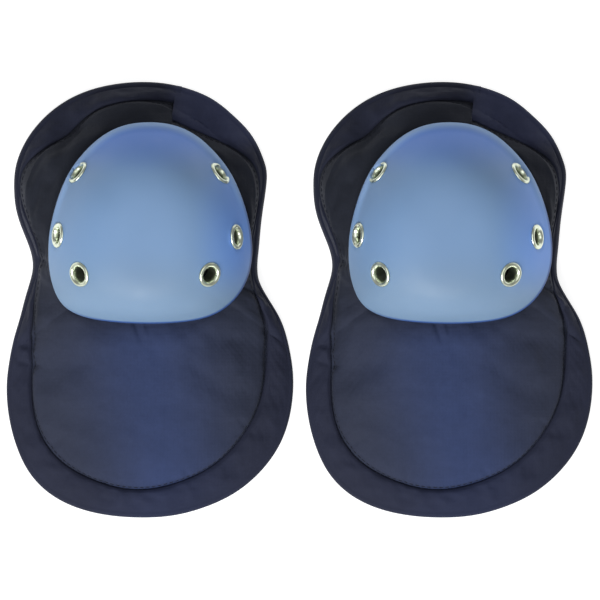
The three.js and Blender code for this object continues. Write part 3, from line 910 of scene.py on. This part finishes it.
def stitch_row(name, pad, line, up, pitch=3.5):
    """Stitches evenly spaced along a line of points, each with the way out of the cloth there."""
    along = np.concatenate([[0], np.cumsum(np.linalg.norm(np.diff(line, axis=0), axis=-1))])
    count = int(along[-1] / pitch)
    where = (np.arange(count) + 0.5) * along[-1] / count
    at = np.stack([np.interp(where, along, line[:, k]) for k in range(3)], -1)
    ahead = np.stack([np.interp(where + 0.6, along, line[:, k]) for k in range(3)], -1)
    out = unit(np.stack([np.interp(where, along, up[:, k]) for k in range(3)], -1))
    tangent = unit(ahead - at)
    out = unit(out - tangent * (out * tangent).sum(-1, keepdims=True))
    return carried_tubes(name, pad, at, tangent, out, STITCH_PATH, 0.3)


def box_stitch(name, pad, low, high, middle_y, height):
    """A sewn box across a strap's under face."""
    side = STRAP_WIDTH / 2 - 2.2
    corners = [(low, -side), (high, -side), (high, side), (low, side), (low, -side)]
    corner = np.array([(x, middle_y + y, height) for x, y in corners])
    span = np.linspace(0, 1, 20)[:, None]
    line = np.concatenate([a + (b - a) * span for a, b in zip(corner[:-1], corner[1:])])
    return stitch_row(name, pad, line, np.tile([0.0, 0.0, -1.0], (len(line), 1)), 3.2)


def wall_stitch(name, pad, line):
    """A sewn row along a strip that lies on the hollow's wall, on the side that faces the leg."""
    inward = -normal_of(hollow_height, line[:, 0], line[:, 1])
    inner = slice(3, -3)
    return stitch_row(name, pad, (line + inward * 0.78)[inner], inward[inner], 3.2)


def hook_field(name, pad, low, high, middle_y, height, pitch=1.5):
    """Rows of little hooks over a flat tab, every other row set half a step along."""
    x = np.arange(low + 1.2, high - 1.2, pitch)
    y = np.arange(-STRAP_WIDTH / 2 + 1.6, STRAP_WIDTH / 2 - 1.6, pitch)
    x, y = np.meshgrid(x, y, indexing="ij")
    y = y + (np.arange(len(x)) % 2 * pitch / 2)[:, None] + middle_y
    at = np.stack([x.ravel(), y.ravel(), np.full(x.size, height)], -1)
    along = np.tile([1.0, 0.0, 0.0], (x.size, 1))
    along[1::2, 0] = -1
    up = np.tile([0.0, 0.0, 1.0], (x.size, 1))
    return carried_tubes(name, pad, at, along, up, HOOK_PATH, 0.11, 4)


# ------------------------------------------------------------------ straps


def webbing(name, pad, centre, thickness, ribs=0, rib_depth=0.0):
    """A closed strip on a grid of centre points, rows along it and columns across.

    Its half thickness falls to almost nothing at its edges in a quarter circle, and ribs are sines.
    """
    side_round, end_round = 1.0, 0.5
    rows, columns, _ = centre.shape
    normal = unit(np.cross(np.gradient(centre, axis=0), np.gradient(centre, axis=1)))
    v = np.linspace(-1, 1, columns)[None, :]
    gap = (1 - np.abs(v)) * STRAP_WIDTH / 2
    roundness = np.sqrt(1 - (1 - np.clip(gap / side_round, 0, 1)) ** 2)
    u = np.linspace(0, 1, rows)[:, None]
    length = np.linalg.norm(np.diff(centre[:, columns // 2], axis=0), axis=-1).sum()
    end_gap = np.minimum(u, 1 - u) * length
    ends = np.sqrt(1 - (1 - np.clip(end_gap / end_round, 0, 1)) ** 2)
    wave = rib_depth * (np.cos(v * math.pi * ribs) * roundness - 1) / 2
    half = thickness / 2 * np.maximum(roundness * ends, 0.06) + wave
    offset = normal * half[..., None]
    points = np.concatenate([(centre + offset).reshape(-1, 3), (centre - offset).reshape(-1, 3)])
    count = rows * columns
    upper = grid_quads(rows, columns, wrap_columns=False)
    lower = upper[:, ::-1] + count
    c, r = np.arange(columns - 1), np.arange(rows - 1) * columns
    far, right = (rows - 1) * columns, columns - 1
    edges = [
        (c, c + 1),
        (c + 1 + far, c + far),
        (r + columns, r),
        (r + right, r + columns + right),
    ]
    walls = [np.stack([a, a + count, b + count, b], -1) for a, b in edges]
    return make_mesh(name, moved(points, pad), np.concatenate([upper, lower] + walls))


# ------------------------------------------------------------------ materials


def linear(red, green, painted_highlight):
    """An sRGB colour of 0 to 255 as linear RGBA."""
    c = np.array([red, green, painted_highlight], float) / 255
    value = np.where(c <= 0.04045, c / 12.92, ((c + 0.055) / 1.055) ** 2.4)
    return (*value.tolist(), 1.0)


def grey(value):
    """A linear grey as RGBA."""
    return (value, value, value, 1)


class Finish:
    """A Principled material and short ways to add nodes to it."""

    def __init__(self, name, colour, roughness, **sockets):
        self.material = bpy.data.materials.new(name)
        self.material.use_nodes = True
        self.tree = self.material.node_tree
        self.shader = next(n for n in self.tree.nodes if n.type == "BSDF_PRINCIPLED")
        sockets.update(Base_Color=colour, Roughness=roughness)
        for key, value in sockets.items():
            self.shader.inputs[key.replace("_", " ")].default_value = value

    def feed(self, socket, value):
        """Links an output to a socket, or sets the socket to a constant."""
        if isinstance(value, bpy.types.NodeSocket):
            self.tree.links.new(value, socket)
        else:
            socket.default_value = value

    def node(self, kind, settings=None, **inputs):
        """A shader node of a kind, with settings, and its inputs fed by name."""
        made = self.tree.nodes.new("ShaderNode" + kind)
        for key, value in (settings or {}).items():
            setattr(made, key, value)
        for key, value in inputs.items():
            self.feed(made.inputs[key.replace("_", " ")], value)
        return made

    def place(self):
        """Object coordinates."""
        return self.node("TexCoord").outputs["Object"]

    def noise(self, scale, detail=4.0, rough=0.55):
        """Cloudy noise, 0 to 1."""
        sizes = {"Scale": scale, "Detail": detail, "Roughness": rough}
        return self.node("TexNoise", Vector=self.place(), **sizes).outputs["Fac"]

    def wave(self, axis, scale, distortion=0.0):
        """Bands across an axis, 0 to 1."""
        settings = {"bands_direction": axis, "wave_type": "BANDS"}
        sizes = {"Scale": scale, "Distortion": distortion}
        return self.node("TexWave", settings, Vector=self.place(), **sizes).outputs["Fac"]

    def cells(self, scale):
        """Distance from the middle of the nearest cell."""
        return self.node("TexVoronoi", Vector=self.place(), Scale=scale).outputs["Distance"]

    def layer(self, name):
        """The piece's own layer of that name."""
        return self.node("Attribute", {"attribute_name": name}).outputs["Fac"]

    def maths(self, operation, first, second):
        """One sum on two values."""
        made = self.node("Math", {"operation": operation})
        self.feed(made.inputs[0], first)
        self.feed(made.inputs[1], second)
        return made.outputs[0]

    def ramp(self, factor, low, high):
        """Colours from low to high, each a position and a colour."""
        made = self.node("ValToRGB", Fac=factor)
        for element, (position, colour) in zip(made.color_ramp.elements, (low, high)):
            element.position = position
            element.color = colour
        return made.outputs["Color"]

    def mix(self, factor, first, second, blend="MIX"):
        """Two colours blended by a factor."""
        made = self.node("Mix", {"data_type": "RGBA", "blend_type": blend})
        for index, value in ((0, factor), (6, first), (7, second)):
            self.feed(made.inputs[index], value)
        return made.outputs[2]

    def colour(self, socket):
        """Feeds the shader's colour."""
        self.feed(self.shader.inputs["Base Color"], socket)

    def roughness(self, socket):
        """Feeds the shader's roughness."""
        self.feed(self.shader.inputs["Roughness"], socket)

    def bump(self, height, distance, strength, below=None):
        """Relief from a height, on top of the relief below."""
        made = self.node("Bump", Height=height, Distance=distance, Strength=strength)
        if below is not None:
            self.feed(made.inputs["Normal"], below)
        self.feed(self.shader.inputs["Normal"], made.outputs["Normal"])
        return made.outputs["Normal"]


def dye_and_painted_light(finish, shade, plain, painted_highlight, painted_shade, painted_top_right):
    """Uneven dye over four tones, three of them painted light and shade: a painted highlight,
    painted shade and a painted top-right tone, mixed by the piece's own layers of the same names.
    """
    tone = finish.mix(finish.layer("painted_highlight"), plain, painted_highlight)
    tone = finish.mix(finish.layer("painted_shade"), tone, painted_shade)
    tone = finish.mix(finish.layer("painted_top_right"), tone, painted_top_right)
    uneven = finish.ramp(shade, (0.3, grey(0.72)), (0.7, grey(1.0)))
    finish.colour(finish.mix(1.0, tone, uneven, "MULTIPLY"))


def woven_finish(name, tones, sheen, weave=380.0):
    """Plain-woven cloth: over-and-under threads in relief, and uneven dye, with painted light and
    shade when four tones are given.
    """
    finish = Finish(
        name, tones[0], 0.82, Sheen_Weight=sheen, Sheen_Roughness=0.5,
        Specular_IOR_Level=0.25, Sheen_Tint=(0.55, 0.6, 0.75, 1),
    )
    cloudy = finish.maths("MULTIPLY", finish.noise(28.0, 5.0, 0.6), 0.65)
    grainy = finish.noise(420.0, 3.0, 0.7)
    shade = finish.maths("ADD", cloudy, finish.maths("MULTIPLY", grainy, 0.35))
    if len(tones) == 4:
        dye_and_painted_light(finish, shade, *tones)
    else:
        finish.colour(finish.ramp(shade, (0.34, tones[0]), (0.66, tones[1])))
    threads = finish.maths("MULTIPLY", finish.wave("X", weave, 1.2), finish.wave("Y", weave, 1.2))
    fuzz = finish.maths("ADD", threads, finish.maths("MULTIPLY", grainy, 0.9))
    soft = finish.bump(finish.noise(150.0, 3.0, 0.6), 0.0006, 0.35)
    finish.bump(fuzz, 0.00016, 0.5, soft)
    return finish.material


def cap_finish():
    """Moulded plastic: faint clouding, a fine grain, and a few soft rub marks in the gloss."""
    finish = Finish(
        "cap_plastic", linear(108, 136, 176), 0.56, Specular_IOR_Level=0.35,
        Subsurface_Weight=0.06, Subsurface_Radius=(0.002, 0.003, 0.005),
    )
    # The greyer tone mixed in by pale is a painted highlight at the chin, and the tones after it
    # are painted light and shade.
    tone = finish.mix(finish.layer("pale"), linear(112, 143, 181), linear(110, 136, 164))
    for name, colour in CAP_PAINTED_LIGHT.items():
        tone = finish.mix(finish.layer(name), tone, colour)
    cloudy = finish.ramp(finish.noise(14.0, 3.0, 0.5), (0.3, grey(0.93)), (0.7, grey(1)))
    finish.colour(finish.mix(1.0, tone, cloudy, "MULTIPLY"))
    rubbed = finish.noise(60.0, 6.0, 0.65)
    finish.roughness(finish.ramp(rubbed, (0.35, grey(0.5)), (0.7, grey(0.62))))
    soft = finish.bump(finish.noise(35.0, 2.0, 0.5), 0.0004, 0.25)
    finish.bump(finish.noise(900.0, 2.0, 0.5), 0.00006, 0.5, soft)
    return finish.material


def metal_finish():
    """Pale nickel-plated brass with fine wear."""
    finish = Finish("eyelet_metal", linear(208, 212, 188), 0.24, Metallic=1.0)
    worn = finish.noise(260.0, 4.0, 0.6)
    finish.colour(finish.ramp(worn, (0.3, linear(198, 206, 182)), (0.65, linear(220, 228, 210))))
    finish.roughness(finish.ramp(worn, (0.3, grey(0.36)), (0.7, grey(0.27))))
    finish.bump(finish.noise(700.0, 3.0, 0.5), 0.00003, 0.3)
    return finish.material


def foam_finish():
    """Closed-cell foam: a skin of small cells."""
    finish = Finish("charcoal_foam", linear(58, 60, 66), 0.95)
    finish.bump(finish.cells(900.0), 0.0003, 0.7)
    return finish.material


def elastic_finish():
    """Ribbed elastic: ribs along the strap and fine yarns across it."""
    finish = Finish("black_elastic", linear(26, 27, 33), 0.8, Sheen_Weight=0.15)
    ribs = finish.wave("Y", 210.0)
    yarns = finish.wave("X", 420.0)
    uneven = finish.noise(300.0)
    finish.colour(finish.ramp(uneven, (0.3, linear(20, 21, 26)), (0.7, linear(36, 37, 45))))
    soft = finish.bump(ribs, 0.0003, 0.5)
    finish.bump(yarns, 0.00012, 0.6, soft)
    return finish.material


def tape_finish(name, low, high, scale, depth, rough):
    """Hook or loop tape: a dense pile of small hooks or brushed loops."""
    finish = Finish(name, high, rough)
    pile = finish.cells(scale)
    finish.colour(finish.ramp(finish.noise(240.0), (0.3, low), (0.7, high)))
    finish.bump(pile, depth, 0.9)
    return finish.material


# Painted light and shade on the cap: side is a bluer painted shade on the right, the brow tone a
# bluer painted shade, lip a painted highlight along the top rim, and edge a painted shade line
# along the bottom and right rim.
CAP_PAINTED_LIGHT = {
    "side": linear(106, 152, 232),
    "painted_brow_shade": linear(90, 130, 204),
    "lip": linear(128, 158, 200),
    "edge": linear(44, 78, 140),
}
# Plain dye; a bluer painted highlight; painted shade; and a top-right tone, a painted lighter patch
# on the band that stays as dark as the painted shade on the cover.
COVER_TONES = linear(39, 44, 61), linear(41, 54, 90), linear(24, 28, 39), linear(26, 29, 40)
BAND_TONES = linear(30, 34, 53), linear(30, 37, 63), linear(24, 28, 46), linear(48, 53, 79)
COVER = woven_finish("navy_cover_cloth", COVER_TONES, 0.06)
BAND = woven_finish("navy_band_cloth", BAND_TONES, 0.05)
LINER = woven_finish("dark_liner_knit", (linear(24, 26, 34), linear(38, 41, 52)), 0.35, 200.0)
CAP = cap_finish()
METAL = metal_finish()
THREAD = woven_finish("dark_thread", (linear(15, 17, 25), linear(23, 26, 38)), 0.05)
FOAM = foam_finish()
ELASTIC = elastic_finish()
HOOK = tape_finish("black_hook_tape", linear(15, 16, 19), linear(30, 31, 36), 700.0, 0.0005, 0.55)
LOOP = tape_finish("black_loop_tape", linear(20, 22, 28), linear(40, 43, 53), 1300.0, 0.0004, 0.95)


# ------------------------------------------------------------------ putting the pads together


def plan_points(piece, pad):
    """A piece's points in plan, in its pad's own frame."""
    co = np.zeros(len(piece.data.vertices) * 3, np.float32)
    piece.data.vertices.foreach_get("co", co)
    co = co.reshape(-1, 3) / MM
    return co[:, 0] - PAD_MIDDLE[pad], co[:, 1]


def set_tone(piece, name, values):
    """A layer of shares, one to a point, that the piece's material mixes a tone by."""
    layer = piece.data.attributes.new(name, "FLOAT", "POINT")
    layer.data.foreach_set("value", np.asarray(values, np.float32))


def paint_light_on_cloth(piece, pad):
    """Painted light and shade: a bluer painted highlight down the lower lobe, painted shade deepest
    at the brow and at the left waist, and a painted lighter patch on the band past the butt.
    """
    x, y = plan_points(piece, pad)
    # drift sways the painted highlight; side is painted shade at the left waist; the top-right
    # layer lightens the band as painted light.
    drift = 6 * np.sin(y / 23.0)
    side = smooth(-60, -68, x) * smooth(-24, -6, y)
    set_tone(piece, "painted_highlight", np.exp(-(((x - 4 - drift) / 35) ** 2)) * smooth(10, -30, y))
    set_tone(piece, "painted_shade", np.maximum(smooth(-25, 35, y), side))
    set_tone(piece, "painted_top_right", smooth(6, 22, x) * smooth(84, 98, y))


def paint_light_on_cap(piece, pad, outer):
    """Painted light and shade on the plastic: a paler painted highlight at the chin and along the
    top lip, bluer painted shade at the brow and the right, and a dark painted shade line along the
    bottom and right rim.
    """
    x, y = plan_points(piece, pad)
    angle, reach = polar(np.stack([x, y], -1))
    edge_angle, edge_reach = polar(outer[-1, :, :2])
    gap = np.interp(angle, edge_angle, edge_reach, period=TAU) - reach
    # Every layer here is painted light: shade at the brow and the right, a highlight at the chin
    # and the top lip, and a shade line on the rim.
    set_tone(piece, "painted_brow_shade", smooth(70, 97, y))
    set_tone(piece, "side", 0.75 * smooth(22, 56, x) * smooth(-4, 30, y) * smooth(90, 66, y))
    set_tone(piece, "pale", smooth(34, 2, y))
    set_tone(piece, "lip", smooth(5.0, 0.4, gap) * smooth(0.1, 0.7, np.sin(angle)))
    set_tone(piece, "edge", smooth(1.2, 0.3, gap) * smooth(-0.1, 0.5, np.cos(angle + 1.0)))


def dress(piece, material, slot, body, *replaced):
    """Gives a piece its material, its body, and the nodes it stands for. The slot is not used."""
    piece.data.materials.append(material)
    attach(piece, body)
    if replaced:
        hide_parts(*replaced)
    return piece


def strap_grid(low, high, middle_y, height, rows=40, columns=60):
    """Flat grid of centre points from x = low to high."""
    x = np.linspace(low, high, rows)[:, None] * np.ones(columns)
    y = middle_y + np.linspace(-0.5, 0.5, columns)[None, :] * STRAP_WIDTH * np.ones((rows, 1))
    return np.stack([x, y, np.full_like(x, height)], -1)


def wall_reach(side, y, z):
    """Where the hollow's wall is at height z, by halving: the roof is above z only inside it."""
    inside = np.zeros_like(y + z)
    outside = np.full_like(inside, 80.0 * side)
    for _ in range(40):
        middle = (inside + outside) / 2
        above = hollow_height(middle, y + 0 * middle) > z
        inside, outside = np.where(above, middle, inside), np.where(above, outside, middle)
    return inside


WALL_TOP = 11.0


def wall_grid(side, middle_y, out, rows=16, low=3.6, columns=60):
    """Grid of centre points up the hollow's wall, to WALL_TOP, standing off it by out."""
    y = middle_y + np.linspace(-0.5, 0.5, columns)[None, :] * STRAP_WIDTH
    z = np.linspace(low, WALL_TOP, rows)[:, None]
    x = wall_reach(side, y, z)
    return on_surface(hollow_height, x, y + 0 * x, np.full_like(x, -out))


# Each strap's middle line, and where its elastic starts at the sewn side.
STRAPS = {"upper": (52.0, -58.75), "lower": (-40.0, -60.38)}
ELASTIC_END = 12.0
TAB_ENDS = 13.0, 46.0
HOOKS_START = 18.0
LOOP_START = 15.0
LOOP_TURN = 3.2  # the loop tab turns up this far short of the wall
OFF_WALL = 1.2
STRAP_HEIGHT, TAB_HEIGHT, HOOK_HEIGHT, LOOP_HEIGHT = 1.3, 1.2, 1.9, 3.2
STITCH_HEIGHT = 0.52
STRAP_THICK, TAB_THICK, TAPE_THICK = 1.6, 1.4, 1.5
RIBS, RIB_DEPTH = 13, 0.16


def make_pad(pad, outer_cloth, cap_faces):
    """One pad: cap, cover, band, foam, liner, seam stitches, eyelets, washers and two straps."""
    body = f"{pad}_pad"
    holes = []
    for place in EYELETS.values():
        point, axis = eyelet_axis(place)
        holes.append((moved(point, pad), axis))
    cap = cap_piece(f"{pad}_hard_cap", pad, *cap_faces, holes)
    paint_light_on_cap(cap, pad, cap_faces[0])
    dress(cap, CAP, "cap_plastic", body, f"{pad}_cap")
    cover = front_cover_piece(f"{pad}_padded_cover", pad, outer_cloth, holes)
    paint_light_on_cloth(cover, pad)
    dress(cover, COVER, "cover_fabric", body, f"{pad}_front_cover")
    band = edge_band_piece(f"{pad}_bound_edge", pad)
    paint_light_on_cloth(band, pad)
    dress(band, BAND, "band_fabric", body, f"{pad}_edge_band")
    foam = foam_piece(f"{pad}_foam", pad)
    dress(foam, FOAM, "foam", body, f"{pad}_foam_core")
    liner = liner_piece(f"{pad}_soft_liner", pad)
    dress(liner, LINER, "liner_fabric", body, f"{pad}_liner")
    seam_up = grid_normal(outer_cloth)[STITCHED_ROW]
    stitches = stitch_row(f"{pad}_seam_stitches", pad, outer_cloth[STITCHED_ROW], seam_up)
    dress(stitches, THREAD, "cover_fabric", body)
    for where, place in EYELETS.items():
        eyelet = turned_piece(f"{pad}_ring_{where}", pad, place, eyelet_profile())
        dress(eyelet, METAL, "eyelet_metal", body, f"{pad}_eyelet_{where}")
        washer = turned_piece(f"{pad}_backing_ring_{where}", pad, place, washer_profile(), 32)
        dress(washer, METAL, "eyelet_metal", body, f"{pad}_washer_{where}")
    for where, (middle_y, left) in STRAPS.items():
        make_closure(pad, where, middle_y, left)


def make_closure(pad, where, middle_y, left):
    """One strap: its sewn end, the elastic, the hook tab, and the loop tab on the other wall."""
    body, part = f"{pad}_pad", f"{pad}_{where}"
    grid = strap_grid(left, ELASTIC_END, middle_y, STRAP_HEIGHT)
    strap = webbing(f"{part}_elastic", pad, grid, STRAP_THICK, RIBS, RIB_DEPTH)
    dress(strap, ELASTIC, "elastic_webbing", f"{part}_strap", f"{part}_strap")
    grid_anchor = wall_grid(-1, middle_y, OFF_WALL)
    anchor = webbing(f"{part}_sewn_end", pad, grid_anchor, TAPE_THICK)
    dress(anchor, ELASTIC, "elastic_webbing", body, f"{part}_strap_anchor")
    grid_tab = strap_grid(*TAB_ENDS, middle_y, TAB_HEIGHT)
    tab = webbing(f"{part}_hook_end", pad, grid_tab, TAB_THICK)
    dress(tab, HOOK, "hook_tape", f"{part}_hook_tab", f"{part}_hook_tab")
    hooks = hook_field(f"{part}_hooks", pad, HOOKS_START, TAB_ENDS[1], middle_y, HOOK_HEIGHT)
    dress(hooks, HOOK, "hook_tape", f"{part}_hook_tab")
    rise = wall_grid(1, middle_y, OFF_WALL, 8, 6.5)
    level = strap_grid(LOOP_START, LOOP_START, middle_y, LOOP_HEIGHT, 24)
    share = np.linspace(0, 1, len(level))[:, None]
    level[..., 0] += (rise[0, :, 0] - LOOP_TURN - LOOP_START) * share
    grid_loop = np.concatenate([level, rise])
    loop = webbing(f"{part}_loop_end", pad, grid_loop, TAPE_THICK)
    dress(loop, LOOP, "loop_tape", body, f"{part}_loop_tab")
    on_strap = left + 2.5, left + 9, middle_y, STITCH_HEIGHT
    on_tab = 14, 19, middle_y, STITCH_HEIGHT
    sewn = [
        box_stitch(f"{part}_elastic_stitches", pad, *on_strap),
        box_stitch(f"{part}_hook_stitches", pad, *on_tab),
        wall_stitch(f"{part}_anchor_stitches", pad, grid_anchor[8]),
        wall_stitch(f"{part}_loop_stitches", pad, grid_loop[-3]),
    ]
    dress(sewn[0], THREAD, "elastic_webbing", f"{part}_strap")
    dress(sewn[1], THREAD, "hook_tape", f"{part}_hook_tab")
    dress(sewn[2], THREAD, "elastic_webbing", body)
    dress(sewn[3], THREAD, "loop_tape", body)


OUTER_CLOTH = front_cloth()
CAP_FACES = cap_grids()
for pad_name in PAD_MIDDLE:
    make_pad(pad_name, OUTER_CLOTH, CAP_FACES)

# ------------------------------------------------------------------ floor, light and camera


def area_light(name, place, target, size, power):
    """A white rectangular lamp at a place, aimed at a target."""
    data = bpy.data.lights.new(name, "AREA")
    data.shape = "RECTANGLE"
    data.size, data.size_y = size
    data.energy = power
    light = bpy.data.objects.new(name, data)
    bpy.context.scene.collection.objects.link(light)
    light.location = place
    aim = Vector(target) - Vector(place)
    light.rotation_euler = aim.to_track_quat("-Z", "Y").to_euler()


FLOOR_HALF = 3000.0
FLOOR_CORNERS = [(-1, -1, 0), (1, -1, 0), (1, 1, 0), (-1, 1, 0)]
floor = make_mesh("floor", FLOOR_HALF * np.array(FLOOR_CORNERS, float), [[0, 1, 2, 3]])
floor_finish = Finish(
    "pale_floor", grey(0.45), 0.9, Emission_Strength=0.8, Emission_Color=grey(1)
)
floor.data.materials.append(floor_finish.material)

scene = bpy.context.scene
scene.view_settings.view_transform = "Standard"
scene.world = bpy.data.worlds.new("studio")
scene.world.use_nodes = True
sky = scene.world.node_tree.nodes["Background"]
sky.inputs["Color"].default_value = grey(1)
sky.inputs["Strength"].default_value = 0.3

area_light("key", (-0.6, -1.55, 1.75), (0, 0, 0.03), (1.5, 0.9), 62)
area_light("top", (0.0, 0.2, 2.2), (0, 0, 0), (1.6, 1.6), 12)

# Straight down from far off, through a very long lens.
CAMERA_LENS = 900
CAMERA_PLACE = 0.0002, 0.0, 8.778
camera_data = bpy.data.cameras.new("camera")
camera_data.lens = CAMERA_LENS
camera_data.clip_start = 0.1
camera_data.clip_end = 50
camera = bpy.data.objects.new("camera", camera_data)
scene.collection.objects.link(camera)
camera.location = CAMERA_PLACE
scene.camera = camera
